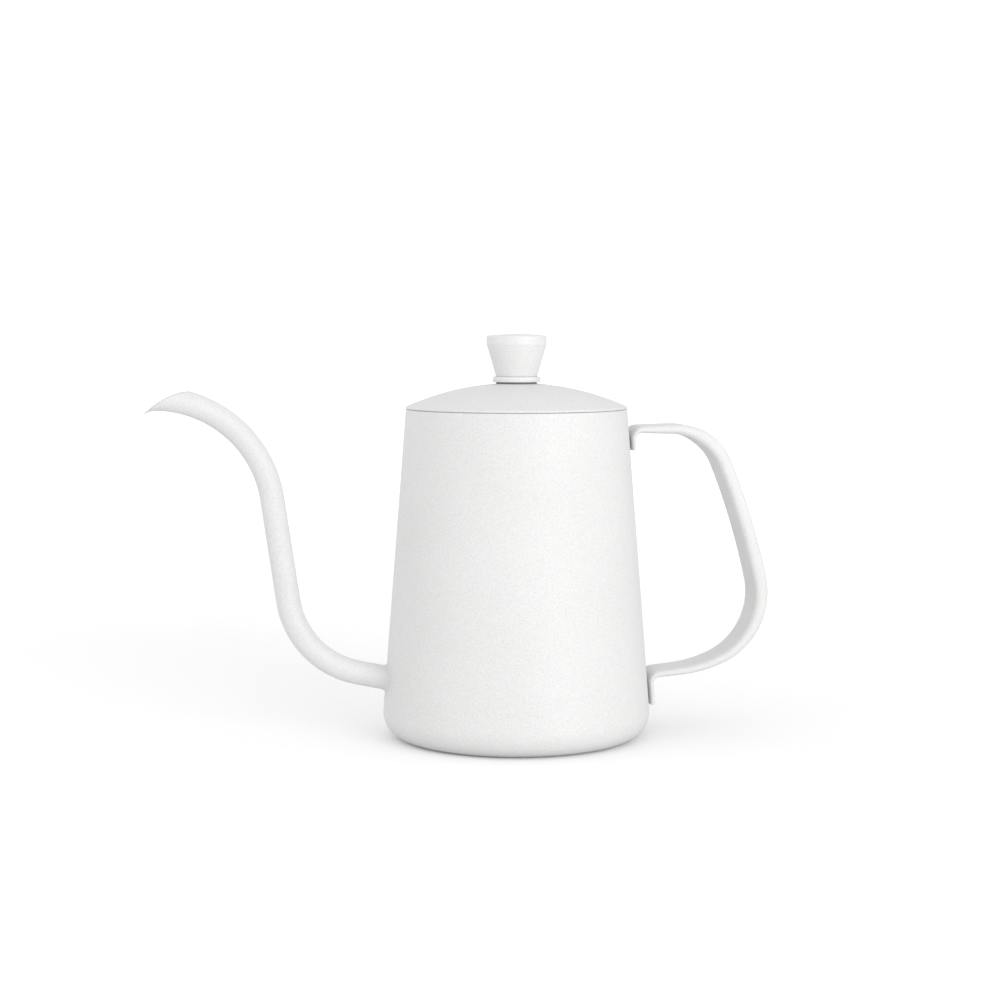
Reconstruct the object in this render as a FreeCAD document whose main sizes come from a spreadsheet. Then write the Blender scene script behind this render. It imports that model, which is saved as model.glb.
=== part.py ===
import FreeCAD, Part
import math
import os
import re
import Sketcher

# A gooseneck pour-over kettle: a tapered sheet-steel body with a bent spout and a strap handle,
# and a lift-off lid with a tapered knob. Millimetres, +Z up, origin at the middle of the foot.
# The spout points along -X and the handle along +X.

doc = FreeCAD.newDocument("GooseneckKettle")

# Driving dimensions: (alias, value, what it is). Angles are in degrees.
SIZES = [
    ("body_height", 120.3, "foot to rim"),
    ("rim_radius", 40.35, "outside of the wall at the rim"),
    ("side_lean", 4.46, "lean of the side from upright"),
    ("wall", 0.8, "sheet thickness of body and lid"),
    ("foot_round", 9.0, "outer radius of the foot corner"),
    ("foot_opening", 36.0, "radius inside the turned-in foot flange"),
    ("rim_round", 0.6, "outer radius of the rim corner"),
    ("mouth_radius", 36.6, "inside of the turned-down lip of the mouth"),
    ("lip_depth", 5.3, "rim down to the end of the turned-down lip"),
    ("plate_radius", 39.2, "edge of the base plate"),
    ("plate_step", 1.2, "rise of the stamped middle of the base plate"),
    ("plate_middle", 31.0, "radius of that raised middle"),
    ("plate_ramp", 2.0, "width of the slope around that middle"),
    ("plate_shift", 0.4, "how far the slope's upper bends lie outside its lower ones"),
    ("plate_round", 0.5, "radius of those bends"),
    ("seam_width", 0.7, "width of the bead around the base plate"),
    ("spout_radius", 4.36, "outside of the spout tube"),
    ("spout_wall", 0.7, "thickness of the spout tube"),
    ("hole_play", 0.02, "clearance of the tube in the wall's hole"),
    ("hole_back", 2.0, "how far the hole's cut starts inside the tube's inner end"),
    ("hole_reach", 8.0, "how far that cut runs on past the same end"),
    ("spout_start", 46.0, "distance of the tube's inner end from the axis"),
    ("spout_height", 21.92, "height of the tube's inner end"),
    ("root_tilt", 12.2, "rise of the tube where it leaves the body"),
    ("root_length", 12.75, "straight run at the body"),
    ("elbow_radius", 32.3, "bend from the root into the riser"),
    ("riser_lean", 8.3, "lean of the riser away from the body"),
    ("riser_length", 37.6, "straight run of the riser"),
    ("neck_radius", 42.1, "bend over the top"),
    ("neck_turn", 79.7, "angle of that bend"),
    ("nose_radius", 12.0, "small downward bend at the lip"),
    ("nose_turn", 42.0, "angle of that bend"),
    ("cut_radius", 29.0, "curve of the slanted cut across the lip"),
    ("cut_back", 117.3, "distance of the cut's upper end from the axis"),
    ("cut_top", 127.45, "height of the cut's upper end"),
    ("cut_front", 134.0, "distance of the lip's point from the axis"),
    ("cut_low", 119.3, "height of the lip's point"),
    ("cut_slip", 4.0, "how far the cut runs on below the lip's point"),
    ("cut_margin", 20.0, "how far the cut's outline reaches out past the tube"),
    ("collar_radius", 5.0, "outside of the weld bead around the spout root"),
    ("collar_length", 1.6, "how far that bead reaches along the tube"),
    ("collar_shoulder", 0.4, "where the bead starts to thin, out from the wall"),
    ("collar_edge", 0.1, "thickness of the bead at its outer end"),
    ("handle_width", 16.0, "width of the handle bar"),
    ("handle_round", 0.9, "edge radius of the handle bar"),
    ("tab_foot", 105.0, "height of the upper tab's end"),
    ("tab_gap", 0.15, "clearance between the upper tab and the wall"),
    ("tab_thick", 1.9, "thickness of the bar at its tabs"),
    ("weld_width", 8.0, "width of the weld pads behind the tabs"),
    ("weld_bite", 1.5, "how far a pad reaches into the wall before it is trimmed to it"),
    ("upper_weld_low", 106.0, "lower edge of the upper weld pad"),
    ("upper_weld_high", 108.4, "upper edge of the upper weld pad"),
    ("lower_weld_low", 12.0, "lower edge of the lower weld pad"),
    ("lower_weld_high", 18.0, "upper edge of the lower weld pad"),
    ("lower_tab_gap", 0.31, "clearance between the lower tab and the wall"),
    ("lid_radius", 40.4, "edge of the lid"),
    ("lid_gap", 0.1, "clearance between the rim and the lid's edge"),
    ("dome_radius", 99.0, "spherical radius of the lid"),
    ("dome_top", 129.7, "height of the lid's crown"),
    ("dome_edge_round", 0.4, "upper radius of the lid's edge"),
    ("lid_foot_round", 0.2, "lower radius of the lid's edge"),
    ("screw_hole", 2.15, "radius of the hole for the knob's screw"),
    ("vent_radius", 1.5, "radius of the steam vent"),
    ("vent_offset", 27.0, "distance of the vent from the axis"),
    ("skirt_radius", 36.0, "outside of the skirt"),
    ("skirt_wall", 0.6, "sheet thickness of the skirt"),
    ("skirt_round", 0.25, "edge radius of the skirt's foot and of the groove's mouth"),
    ("skirt_foot", 113.2, "height of the skirt's lower edge"),
    ("skirt_flange", 32.6, "inner radius of the flange welded to the dome"),
    ("groove_low", 115.6, "lower side of the seal groove"),
    ("groove_high", 118.4, "upper side of the seal groove"),
    ("groove_radius", 34.9, "bottom of the seal groove"),
    ("seal_play", 0.05, "clearance of the seal in its groove"),
    ("seal_radius", 36.5, "outside of the seal as fitted in the mouth"),
    ("seal_lip_width", 0.5, "how far each lip stands out from the seal's shoulder"),
    ("seal_lip_height", 0.6, "height of a lip's crest from its side of the groove"),
    ("seal_dip", 0.4, "depth of the hollow between the lips"),
    ("nugget_radius", 1.2, "radius of each spot weld under the flange"),
    ("nugget_height", 0.25, "height of each spot weld"),
    ("nugget_circle", 34.2, "distance of the spot welds from the axis"),
    ("gasket_radius", 7.4, "edge of the heat washer"),
    ("gasket_top", 130.0, "top of the heat washer"),
    ("collar_top", 132.0, "top of the ring under the knob"),
    ("ring_radius", 8.7, "edge of the ring under the knob"),
    ("ring_round", 0.5, "edge radius of that ring"),
    ("knob_foot", 7.5, "radius of the knob's lower end"),
    ("knob_radius", 10.95, "radius of the knob's upper band"),
    ("knob_band_low", 143.7, "where the taper meets the band"),
    ("knob_top", 147.5, "height of the knob's crown"),
    ("knob_dome", 90.0, "spherical radius of the knob's crown"),
    ("knob_round", 0.6, "edge radius of the knob's crown"),
    ("knob_foot_round", 0.4, "edge radius of the knob's foot and of the band's lower side"),
    ("insert_radius", 3.1, "outside of the threaded insert"),
    ("insert_bore", 1.7, "inside of the threaded insert"),
    ("insert_length", 9.0, "length of the threaded insert"),
    ("screw_radius", 1.64, "shank of the M4 screw below its thread crests"),
    ("screw_length", 12.0, "length of the screw under its head"),
    ("head_radius", 4.0, "edge of the screw's head"),
    ("head_height", 2.4, "height of the screw's head"),
    ("head_round", 0.8, "edge radius of the screw's head"),
    ("socket_radius", 1.5, "radius across the points of the head's hexagon socket"),
    ("socket_depth", 1.3, "depth of that socket"),
    ("washer_radius", 4.5, "edge of the flat washer"),
    ("washer_height", 0.8, "thickness of the flat washer"),
    ("washer_top", 128.79, "height of the flat washer's upper face"),
    ("spring_radius", 3.8, "edge of the spring washer"),
    ("spring_height", 1.0, "thickness of the spring washer"),
    ("spring_slot", 0.6, "width of the spring washer's split"),
    ("split_start", 0.5, "distance from the axis where the split's cut begins"),
    ("split_margin", 1.0, "how far that cut runs past the washer's edge"),
    ("trim_margin", 1.0, "how far the wall's cutting cone reaches below the foot"),
]

# The bar's two sides, followed from the end of the upper tab over the grip to the lower tab.
# Each is a chain of tangent runs: the length of a straight, or the radius and turn of a bend.
HANDLE_SIDES = {
    "outer": [("tab", 3.6), ("shoulder", 4.9, -92.65), ("top", 12.07), ("corner", 22.43, -69.25),
              ("grip", 260.0, -10.0), ("heel", 28.37, -85.2), ("sweep", 60.6, -12.85),
              ("run", 8.45), ("ankle", 2.0, 89.95), ("end", 7.96)],
    "inner": [("tab", 3.84), ("shoulder", 2.2, -96.24), ("top", 11.66), ("corner", 19.56, -65.7),
              ("grip", 257.0, -10.0), ("heel", 24.24, -70.1), ("sweep", 40.14, -26.1),
              ("run", 8.15), ("ankle", 4.2, 88.15), ("end", 8.13)],
}

for side, pieces in HANDLE_SIDES.items():
    for piece in pieces:
        SIZES.append((f"{side}_{piece[0]}_size", piece[1], "length of a straight or radius of a bend"))
        if len(piece) == 3:
            SIZES.append((f"{side}_{piece[0]}_turn", piece[2], "turn of that bend"))

dims = doc.addObject("Spreadsheet::Sheet", "Dims")
for row, (alias, size, note) in enumerate(SIZES, start=1):
    dims.set(f"A{row}", note)
    dims.set(f"B{row}", str(size))
    dims.setAlias(f"B{row}", alias)
doc.recompute()

ALIASES = {alias for alias, size, note in SIZES}
WELD_COUNT = 6       # spot welds between the lid's skirt and dome

# Formulas that several pieces share, written with the aliases above.
SPRING_TOP = "washer_top - washer_height"
HEAD_TOP = "washer_top - washer_height - spring_height"


def wall_radius(height):
    """Outside radius of the body at a height, as a formula."""
    return f"(rim_radius + tan(side_lean) * (body_height - ({height})))"


def inner_radius(height):
    """Inside radius of the body's side at a height."""
    return f"({wall_radius(height)} - wall / cos(side_lean))"


def dome_height(radius, depth="0"):
    """Height of the lid's sphere at a radius, or of a sphere that lies deeper."""
    return f"(dome_top - dome_radius + sqrt((dome_radius - {depth})^2 - ({radius})^2))"


def full(formula):
    """The formula with every alias led by the sheet's name."""
    return re.sub(r"[a-z][a-z_]*", lambda m: f"Dims.{m[0]}" if m[0] in ALIASES else m[0], str(formula))


def value(formula):
    """What a formula comes to with the sheet's values."""
    return float(dims.evalExpression(full(formula)))


def new_body(label):
    body = doc.addObject("PartDesign::Body", label)
    body.Label = label
    return body


def new_sketch(body, name, role="XZ_Plane"):
    """A sketch on one of the body's own origin planes."""
    sketch = body.newObject("Sketcher::SketchObject", f"{body.Name}_{name}")
    plane = next(item for item in body.Origin.OriginFeatures if item.Role == role)
    sketch.AttachmentSupport = [(plane, "")]
    sketch.MapMode = "FlatFace"
    return sketch


def bind(sketch, formula, *constraint):
    """Add a constraint whose value follows a formula."""
    if constraint[0] == "Angle":
        index = sketch.addConstraint(Sketcher.Constraint(*constraint, math.radians(value(formula))))
        sketch.setExpression(f"Constraints[{index}]", f"({full(formula)}) * 1 deg")
    else:
        index = sketch.addConstraint(Sketcher.Constraint(*constraint, value(formula)))
        sketch.setExpression(f"Constraints[{index}]", full(formula))


def place_point(sketch, item, end, across, up):
    """Hold a point at a distance across and up from the sketch's origin."""
    if across == "0":
        sketch.addConstraint(Sketcher.Constraint("PointOnObject", item, end, -2))
    else:
        bind(sketch, across, "DistanceX", -1, 1, item, end)
    if up == "0":
        sketch.addConstraint(Sketcher.Constraint("PointOnObject", item, end, -1))
    else:
        bind(sketch, up, "DistanceY", -1, 1, item, end)


def arc_between(first, last, radius):
    """An arc from first to last: it bulges to the left of that direction, or right if negative."""
    chord = last - first
    right = FreeCAD.Vector(chord.y, -chord.x, 0).normalize()
    reach = math.sqrt(radius ** 2 - (chord.Length / 2) ** 2)
    centre = (first + last) * 0.5 + right * math.copysign(reach, radius)
    begin, end = (last, first) if radius > 0 else (first, last)
    low = math.atan2(begin.y - centre.y, begin.x - centre.x)
    high = math.atan2(end.y - centre.y, end.x - centre.x)
    if high < low:
        high += 2 * math.pi
    return Part.ArcOfCircle(Part.Circle(centre, FreeCAD.Vector(0, 0, 1), abs(radius)), low, high)


def add_outline(sketch, corners):
    """A closed outline through corners (across, up), or (across, up, radius) where an arc leaves."""
    points = [FreeCAD.Vector(value(corner[0]), value(corner[1]), 0) for corner in corners]
    ends = []
    for number, corner in enumerate(corners):
        first = points[number]
        last = points[(number + 1) % len(points)]
        if len(corner) == 3:
            shape = arc_between(first, last, value(corner[2]))
        else:
            shape = Part.LineSegment(first, last)
        item = sketch.addGeometry(shape, False)
        forward = (sketch.Geometry[item].StartPoint - first).Length < 1e-6
        ends.append((item, 1, 2) if forward else (item, 2, 1))
    for number, corner in enumerate(corners):
        item, start, finish = ends[number]
        following, entry, leave = ends[(number + 1) % len(ends)]
        sketch.addConstraint(Sketcher.Constraint("Coincident", item, finish, following, entry))
        place_point(sketch, item, start, corner[0], corner[1])
        if len(corner) == 3:
            bind(sketch, f"abs({corner[2]})", "Radius", item)


def add_run(sketch, across, up, heading, pieces):
    """A chain of tangent straights (length,) and bends (radius, turn), left turns positive."""
    point = FreeCAD.Vector(value(across), value(up), 0)
    angle = math.radians(value(heading))
    before = None
    for piece in pieces:
        size = value(piece[0])
        if len(piece) == 1:
            last = point + FreeCAD.Vector(math.cos(angle), math.sin(angle), 0) * size
            item = sketch.addGeometry(Part.LineSegment(point, last), False)
            start, finish = 1, 2
        else:
            turn = math.radians(value(piece[1]))
            side = math.copysign(1, turn)
            centre = point + FreeCAD.Vector(-math.sin(angle), math.cos(angle), 0) * size * side
            begin = angle - side * math.pi / 2
            low, high = sorted((begin, begin + turn))
            circle = Part.Circle(centre, FreeCAD.Vector(0, 0, 1), size)
            item = sketch.addGeometry(Part.ArcOfCircle(circle, low, high), False)
            start, finish = (1, 2) if turn > 0 else (2, 1)
            angle += turn
            arc_end = begin + turn
            last = centre + FreeCAD.Vector(math.cos(arc_end), math.sin(arc_end), 0) * size
        if before is None:
            place_point(sketch, item, start, across, up)
            bind(sketch, heading, "Angle", item)
        else:
            sketch.addConstraint(Sketcher.Constraint("Tangent", *before, item, start))
        if len(piece) == 1:
            bind(sketch, piece[0], "Distance", item)
        else:
            bind(sketch, piece[0], "Radius", item)
            bind(sketch, f"abs({piece[1]})", "Angle", item)
        before = (item, finish)
        point = last
    return before, point


def turn_round(body, sketch, kind="Revolution", axis="V_Axis"):
    """Revolve a sketch by a full turn, as new material or as a groove."""
    feature = body.newObject(f"PartDesign::{kind}", f"{sketch.Name}_{kind}")
    feature.Profile = sketch
    feature.ReferenceAxis = (sketch, [axis])
    feature.Angle = 360
    doc.recompute()
    return feature


def lathe(label, corners):
    """A piece turned about the kettle's axis from one closed outline."""
    body = new_body(label)
    sketch = new_sketch(body, "section")
    add_outline(sketch, corners)
    turn_round(body, sketch)
    return body


def ring_edges(feature, places):
    """Names of the circular edges about the kettle's axis at (radius, height)."""
    wanted = [(value(radius), value(height)) for radius, height in places]
    names = []
    for number, edge in enumerate(feature.Shape.Edges, start=1):
        curve = None if edge.Degenerated else edge.Curve
        if isinstance(curve, Part.Circle):
            ring = (curve.Radius, curve.Center.z)
            if any(abs(ring[0] - spot[0]) + abs(ring[1] - spot[1]) < 0.01 for spot in wanted):
                names.append(f"Edge{number}")
    return names


def round_edges(body, size, names):
    """Fillet edges of the body's last feature."""
    base = body.Tip
    fillet = body.newObject("PartDesign::Fillet", f"{base.Name}_round")
    fillet.Base = (base, names)
    fillet.setExpression("Radius", full(size))
    doc.recompute()
    return fillet


def pad(body, sketch, length, midplane=False):
    feature = body.newObject("PartDesign::Pad", f"{sketch.Name}_pad")
    feature.Profile = sketch
    feature.setExpression("Length", full(length))
    feature.Midplane = midplane
    doc.recompute()
    return feature


def pocket_through(body, sketch):
    """Cut a sketch through everything, both ways."""
    feature = body.newObject("PartDesign::Pocket", f"{sketch.Name}_pocket")
    feature.Profile = sketch
    feature.Type = "ThroughAll"
    feature.Midplane = True
    doc.recompute()
    return feature


def round_hole(body, name, across, up, radius):
    """A vertical round hole through a lid piece."""
    sketch = new_sketch(body, name, "XY_Plane")
    spot = FreeCAD.Vector(value(across), value(up), 0)
    circle = Part.Circle(spot, FreeCAD.Vector(0, 0, 1), value(radius))
    sketch.addGeometry(circle, False)
    if across == "0" and up == "0":
        sketch.addConstraint(Sketcher.Constraint("Coincident", 0, 3, -1, 1))
    else:
        place_point(sketch, 0, 3, across, up)
    bind(sketch, radius, "Radius", 0)
    return pocket_through(body, sketch)


def trim_to_wall(body):
    """Cut away what lies inside the kettle's outer cone, so that a piece sits on the wall."""
    sketch = new_sketch(body, "wall_trim")
    add_outline(sketch, [
        ("0", "-trim_margin"),
        (wall_radius("-trim_margin"), "-trim_margin"),
        (wall_radius("body_height"), "body_height"),
        ("0", "body_height"),
    ])
    return turn_round(body, sketch, "Groove")


def root_point(along, off):
    """A point beside the spout's root: a way out along its axis and a way off that axis."""
    across = f"-spout_start - ({along}) * cos(root_tilt) + ({off}) * sin(root_tilt)"
    up = f"spout_height + ({along}) * sin(root_tilt) + ({off}) * cos(root_tilt)"
    return across, up


def turn_about_root(body, name, corners, kind):
    """Revolve an outline about the spout's root axis. Corners are (along, off)."""
    sketch = new_sketch(body, name)
    add_outline(sketch, [root_point(along, off) for along, off in corners])
    ends = [root_point("0", "0"), root_point("root_length", "0")]
    first, last = [FreeCAD.Vector(value(across), value(up), 0) for across, up in ends]
    axis = sketch.addGeometry(Part.LineSegment(first, last), True)
    place_point(sketch, axis, 1, *ends[0])
    place_point(sketch, axis, 2, *ends[1])
    return turn_round(body, sketch, kind, "Axis0")


def spout_run(sketch):
    """The spout's centre line."""
    pieces = [
        ("root_length",),
        ("elbow_radius", "-(90 - root_tilt - riser_lean)"),
        ("riser_length",),
        ("neck_radius", "neck_turn"),
        ("nose_radius", "nose_turn"),
    ]
    add_run(sketch, "-spout_start", "spout_height", "180 - root_tilt", pieces)


def make_body_shell():
    """Sheet wall with a rounded foot, a turned-in foot flange, and a rim turned in and down."""
    inside_rim = "body_height - wall"
    body = lathe("body_shell", [
        ("foot_opening", "0"),
        (wall_radius("0"), "0"),
        (wall_radius("body_height"), "body_height"),
        ("mouth_radius", "body_height"),
        ("mouth_radius", "body_height - lip_depth"),
        ("mouth_radius + wall", "body_height - lip_depth"),
        ("mouth_radius + wall", inside_rim),
        (inner_radius(inside_rim), inside_rim),
        (inner_radius("wall"), "wall"),
        ("foot_opening", "wall"),
    ])
    round_edges(body, "foot_round", ring_edges(body.Tip, [(wall_radius("0"), "0")]))
    round_edges(body, "foot_round - wall", ring_edges(body.Tip, [(inner_radius("wall"), "wall")]))
    rim = [(wall_radius("body_height"), "body_height"), ("mouth_radius", "body_height")]
    round_edges(body, "rim_round", ring_edges(body.Tip, rim))
    bore = "spout_radius + hole_play"
    turn_about_root(body, "spout_hole", [
        ("-hole_back", "0"),
        ("-hole_back", bore),
        ("hole_reach", bore),
        ("hole_reach", "0"),
    ], "Groove")


def make_base_plate():
    """Stamped disc that lies on the foot flange, with its middle pressed up."""
    rise = "wall + plate_step"
    lower_bends = [
        ("plate_middle", rise),
        ("plate_middle + plate_ramp", "wall"),
    ]
    upper_bends = [
        ("plate_middle + plate_ramp + plate_shift", "2 * wall"),
        ("plate_middle + plate_shift", f"{rise} + wall"),
    ]
    body = lathe("base_plate", [
        ("0", rise),
        *lower_bends,
        ("plate_radius", "wall"),
        ("plate_radius", "2 * wall"),
        *upper_bends,
        ("0", f"{rise} + wall"),
    ])
    round_edges(body, "plate_round", ring_edges(body.Tip, lower_bends + upper_bends))


def make_base_seam_weld():
    """Bead that joins the plate's edge to the flange."""
    lathe("base_seam_weld", [
        ("plate_radius", "wall"),
        ("plate_radius + seam_width", "wall"),
        ("plate_radius", "wall + seam_width"),
    ])


def make_spout_tube():
    """Bent tube, open from the body's inside to its lip, which is cut on a slanting curve."""
    body = new_body("spout_tube")
    path = new_sketch(body, "path")
    spout_run(path)
    doc.recompute()
    ring = body.newObject("Sketcher::SketchObject", "spout_tube_ring")
    ring.AttachmentSupport = [(path, "Edge1")]
    ring.MapMode = "NormalToEdge"
    ring.MapPathParameter = 0
    for item, radius in enumerate(("spout_radius", "spout_radius - spout_wall")):
        circle = Part.Circle(FreeCAD.Vector(0, 0, 0), FreeCAD.Vector(0, 0, 1), value(radius))
        ring.addGeometry(circle, False)
        ring.addConstraint(Sketcher.Constraint("Coincident", item, 3, -1, 1))
        bind(ring, radius, "Radius", item)
    tube = body.newObject("PartDesign::AdditivePipe", "spout_tube_pipe")
    tube.Profile = ring
    tube.Spine = (path, [f"Edge{number + 1}" for number in range(path.GeometryCount)])
    doc.recompute()
    cut = new_sketch(body, "lip_cut")
    add_outline(cut, [
        ("-cut_back", "cut_top", "-cut_radius"),
        ("-cut_front", "cut_low"),
        ("-cut_front - cut_slip / 2", "cut_low - cut_slip"),
        ("-cut_front - cut_margin", "cut_low - cut_slip"),
        ("-cut_front - cut_margin", "cut_top + cut_margin"),
        ("-cut_back", "cut_top + cut_margin"),
    ])
    pocket_through(body, cut)


def make_spout_weld():
    """Bead around the spout's root: a short cone on the tube, trimmed to the wall."""
    body = new_body("spout_weld")
    surface = f"({wall_radius('spout_height')} - spout_start) / cos(root_tilt)"
    turn_about_root(body, "bead", [
        ("0", "spout_radius"),
        (f"{surface} + collar_length", "spout_radius"),
        (f"{surface} + collar_length", "spout_radius + collar_edge"),
        (f"{surface} + collar_shoulder", "collar_radius"),
        ("0", "collar_radius"),
    ], "Revolution")
    trim_to_wall(body)


def make_handle_strap():
    """Flat bar bent into the grip, thin at its two tabs and thick where the hand holds it."""
    body = new_body("handle_strap")
    sketch = new_sketch(body, "side")
    back = f"{wall_radius('tab_foot')} + tab_gap"
    starts = {"outer": back, "inner": f"{back} + tab_thick / cos(side_lean)"}
    sides = []
    for side, pieces in HANDLE_SIDES.items():
        first = sketch.GeometryCount
        names = [[f"{side}_{piece[0]}_size", f"{side}_{piece[0]}_turn"] for piece in pieces]
        run = [cells[:len(piece) - 1] for cells, piece in zip(names, pieces)]
        finish, tip = add_run(sketch, starts[side], "tab_foot", "90 + side_lean", run)
        start = sketch.Geometry[first].StartPoint
        sides.append(((first, 1), finish, start, tip))
    (entry_a, leave_a, start_a, tip_a), (entry_b, leave_b, start_b, tip_b) = sides
    for low, high, begin, close in ((entry_a, entry_b, start_a, start_b), (leave_a, leave_b, tip_a, tip_b)):
        item = sketch.addGeometry(Part.LineSegment(begin, close), False)
        sketch.addConstraint(Sketcher.Constraint("Coincident", *low, item, 1))
        sketch.addConstraint(Sketcher.Constraint("Coincident", *high, item, 2))
    doc.recompute()
    bar = pad(body, sketch, "handle_width", midplane=True)
    half = value("handle_width") / 2
    rims = [f"Edge{number}" for number, edge in enumerate(bar.Shape.Edges, start=1)
            if all(abs(abs(corner.Y) - half) < 1e-6 for corner in edge.Vertexes)
            and edge.Vertexes[0].Y * edge.Vertexes[-1].Y > 0]
    round_edges(body, "handle_round", rims)


def make_handle_weld(label, low, high, gap):
    """Pad of weld metal between a tab of the handle and the wall."""
    body = new_body(label)
    sketch = new_sketch(body, "side")
    add_outline(sketch, [
        (f"{wall_radius(low)} - weld_bite", low),
        (f"{wall_radius(low)} + {gap}", low),
        (f"{wall_radius(high)} + {gap}", high),
        (f"{wall_radius(high)} - weld_bite", high),
    ])
    pad(body, sketch, "weld_width", midplane=True)
    trim_to_wall(body)


def make_lid_dome():
    """Spherical cap with a rounded edge, a hole for the knob's screw and a steam vent."""
    foot = "body_height + lid_gap"
    body = lathe("lid_dome", [
        ("0", dome_height("0", "wall")),
        ("0", "dome_top", "dome_radius"),
        ("lid_radius", dome_height("lid_radius")),
        ("lid_radius", foot),
        ("lid_radius - wall", foot),
        ("lid_radius - wall", dome_height("lid_radius - wall", "wall"), "-(dome_radius - wall)"),
    ])
    round_edges(body, "dome_edge_round", ring_edges(body.Tip, [("lid_radius", dome_height("lid_radius"))]))
    round_edges(body, "lid_foot_round", ring_edges(body.Tip, [("lid_radius", foot)]))
    round_hole(body, "screw_hole", "0", "0", "screw_hole")
    round_hole(body, "vent", "0", "vent_offset", "vent_radius")


def make_lid_skirt():
    """Ring under the dome: a flange that follows the dome, and a wall with a groove for the seal."""
    deep = "wall + skirt_wall"
    inside = "skirt_radius - skirt_wall"
    body = lathe("lid_skirt", [
        ("skirt_flange", dome_height("skirt_flange", "wall"), "dome_radius - wall"),
        ("skirt_radius", dome_height("skirt_radius", "wall")),
        ("skirt_radius", "groove_high"),
        ("groove_radius", "groove_high"),
        ("groove_radius", "groove_low"),
        ("skirt_radius", "groove_low"),
        ("skirt_radius", "skirt_foot"),
        (inside, "skirt_foot"),
        (inside, "groove_low - skirt_wall"),
        ("groove_radius - skirt_wall", "groove_low - skirt_wall"),
        ("groove_radius - skirt_wall", "groove_high + skirt_wall"),
        (inside, "groove_high + skirt_wall"),
        (inside, dome_height(inside, f"({deep})"), f"-(dome_radius - {deep.replace('+', '-')})"),
        ("skirt_flange", dome_height("skirt_flange", f"({deep})")),
    ])
    edges = [("skirt_radius", "groove_high"), ("skirt_radius", "groove_low"),
             ("skirt_radius", "skirt_foot"), (inside, "skirt_foot")]
    round_edges(body, "skirt_round", ring_edges(body.Tip, edges))


def make_lid_skirt_welds():
    """Six small spot welds, proud of the flange's underside."""
    under = value("dome_radius - wall - skirt_wall")
    centre = FreeCAD.Vector(0, 0, value("dome_top - dome_radius"))
    slope = math.asin(value("nugget_circle") / under)
    reach = math.sqrt(under ** 2 - value("nugget_radius") ** 2)
    nuggets = []
    for number in range(WELD_COUNT):
        turn = 2 * math.pi * number / WELD_COUNT
        outward = FreeCAD.Vector(math.cos(turn), math.sin(turn), 0)
        normal = outward * math.sin(slope) + FreeCAD.Vector(0, 0, math.cos(slope))
        nugget = doc.addObject("Part::Cylinder", f"nugget_{number + 1}")
        nugget.setExpression("Radius", full("nugget_radius"))
        nugget.setExpression("Height", full("nugget_height"))
        facing = FreeCAD.Rotation(FreeCAD.Vector(0, 0, 1), normal * -1)
        nugget.Placement = FreeCAD.Placement(centre + normal * reach, facing)
        nuggets.append(nugget)
    group = doc.addObject("Part::Compound", "lid_skirt_welds")
    group.Links = nuggets
    group.Label = "lid_skirt_welds"


def make_lid_seal():
    """Silicone ring in the skirt's groove, with two small lips."""
    play = "seal_play"
    middle = "(groove_low + groove_high) / 2"
    lathe("lid_seal", [
        (f"groove_radius + {play}", f"groove_low + {play}"),
        ("seal_radius - seal_lip_width", f"groove_low + {play}"),
        ("seal_radius", "groove_low + seal_lip_height"),
        ("seal_radius - seal_dip", middle),
        ("seal_radius", "groove_high - seal_lip_height"),
        ("seal_radius - seal_lip_width", f"groove_high - {play}"),
        (f"groove_radius + {play}", f"groove_high - {play}"),
    ])


def make_knob_gasket():
    """Dark heat washer that follows the dome below and is flat on top."""
    lathe("knob_gasket", [
        ("screw_hole", dome_height("screw_hole")),
        ("screw_hole", "gasket_top"),
        ("gasket_radius", "gasket_top"),
        ("gasket_radius", dome_height("gasket_radius"), "-dome_radius"),
    ])


def make_knob_collar():
    """Thin ring between the heat washer and the knob."""
    body = lathe("knob_collar", [
        ("screw_hole", "gasket_top"),
        ("screw_hole", "collar_top"),
        ("ring_radius", "collar_top"),
        ("ring_radius", "gasket_top"),
    ])
    edges = [("ring_radius", "collar_top"), ("ring_radius", "gasket_top")]
    round_edges(body, "ring_round", ring_edges(body.Tip, edges))


def make_knob():
    """Grip that widens upwards to a short upright band, with a slightly domed crown."""
    edge = "(knob_top - knob_dome + sqrt(knob_dome^2 - knob_radius^2))"
    body = lathe("knob", [
        ("insert_radius", "collar_top"),
        ("insert_radius", "collar_top + insert_length"),
        ("0", "collar_top + insert_length"),
        ("0", "knob_top", "knob_dome"),
        ("knob_radius", edge),
        ("knob_radius", "knob_band_low"),
        ("knob_foot", "collar_top"),
    ])
    round_edges(body, "knob_round", ring_edges(body.Tip, [("knob_radius", edge)]))
    foot = [("knob_foot", "collar_top"), ("knob_radius", "knob_band_low")]
    round_edges(body, "knob_foot_round", ring_edges(body.Tip, foot))


def make_knob_insert():
    """Threaded brass bush moulded into the knob."""
    lathe("knob_insert", [
        ("insert_bore", "collar_top"),
        ("insert_bore", "collar_top + insert_length"),
        ("insert_radius", "collar_top + insert_length"),
        ("insert_radius", "collar_top"),
    ])


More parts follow.
